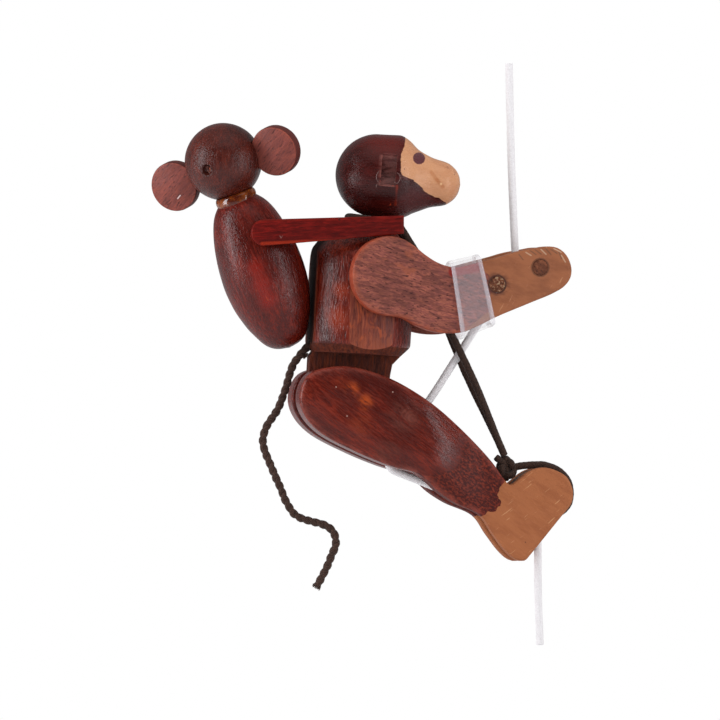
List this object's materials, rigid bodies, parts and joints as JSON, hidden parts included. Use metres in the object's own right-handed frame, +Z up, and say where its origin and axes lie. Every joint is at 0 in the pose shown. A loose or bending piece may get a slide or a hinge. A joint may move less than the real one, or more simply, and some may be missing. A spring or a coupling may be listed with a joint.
{
  "type": "climbing figure toy",
  "caption": "Wooden monkey with a young one on its back, on a string it climbs when the string is pulled, with an elastic cord, painted face, hands and feet.",
  "frame": {"origin": "centre of the string's cut top end", "axes": "+Z up along the string, +X the way the figure faces, so that +Y is its left side, away from the picture's viewer"},
  "size_m": [0.1703, 0.0587, 0.2329],
  "materials": {
    "stained_wood": "satin red-brown stain",
    "arm_wood": "satin stain with a paler grain",
    "tan_paint": "matte tan paint on wood",
    "bare_wood": "rough end grain",
    "white_string": "white braided cord",
    "brown_elastic": "matte covered elastic",
    "tail_brown": "matte twisted cord",
    "amber_glue": "glossy dried glue",
    "clear_plastic": "clear soft plastic"
  },
  "bodies": {
    "held_string": {"string_upper": "white_string"},
    "figure": {"torso": "stained_wood", "near_arm": "arm_wood", "far_arm": "arm_wood", "near_shoulder_dowel": "bare_wood", "far_shoulder_dowel": "bare_wood", "neck_dowel": "bare_wood", "front_hand_peg": "bare_wood", "rear_hand_peg": "bare_wood", "wrist_band": "clear_plastic", "hip_pin": "bare_wood", "elastic_neck_loop": "brown_elastic", "elastic_near_strand": "brown_elastic", "elastic_far_strand": "brown_elastic", "string_grip": "white_string", "string_middle_run": "white_string", "tail_cord": "tail_brown", "baby_near_arm": "stained_wood", "baby_far_arm": "stained_wood", "baby_arm_pin": "bare_wood"},
    "head_and_ear": {"head": "stained_wood", "far_ear": "stained_wood"},
    "legs": {"near_leg": "stained_wood", "far_leg": "stained_wood", "knee_pin": "bare_wood", "heel_dowel": "bare_wood", "foot_spacer": "tan_paint", "elastic_knot": "brown_elastic", "elastic_foot_loop": "brown_elastic", "string_foot_run": "white_string"},
    "string_end": {"string_lower": "white_string"},
    "young_one": {"baby_body": "stained_wood", "baby_head": "stained_wood", "baby_neck_dowel": "bare_wood", "baby_neck_glue": "amber_glue", "baby_left_ear": "arm_wood", "baby_right_ear": "arm_wood", "baby_nose_plug": "bare_wood"}
  },
  "joints": [
    {"name": "climb", "type": "slide", "parent": "held_string", "child": "figure", "axis": [0, 0, 1], "range_m": [-0.02, 0.05], "deforming": ["string_upper"]},
    {"name": "head_turn", "type": "hinge", "parent": "figure", "child": "head_and_ear", "pos_m": [-0.0536, 0, -0.0453], "axis": [0.0558, 0, 0.9984], "range_deg": [-45, 45]},
    {"name": "leg_swing", "type": "hinge", "parent": "figure", "child": "legs", "pos_m": [-0.0704, 0, -0.1356], "axis": [0, 1, 0], "range_deg": [0, 40], "stiffness_Nm_per_rad": 0.05, "springref_deg": -34.38, "deforming": ["elastic_near_strand", "elastic_far_strand", "string_middle_run", "string_foot_run", "string_lower"]},
    {"name": "string_end_swing", "type": "hinge", "parent": "legs", "child": "string_end", "pos_m": [0.0052, 0, -0.1905], "axis": [0, 1, 0], "range_deg": [-45, 5]},
    {"name": "young_swing", "type": "hinge", "parent": "figure", "child": "young_one", "pos_m": [-0.1016, 0, -0.068], "axis": [0, 1, 0], "range_deg": [0, 12]}
  ],
  "couplings": [
    {"joint": "string_end_swing", "follows": "leg_swing", "ratio": -1}
  ]
}
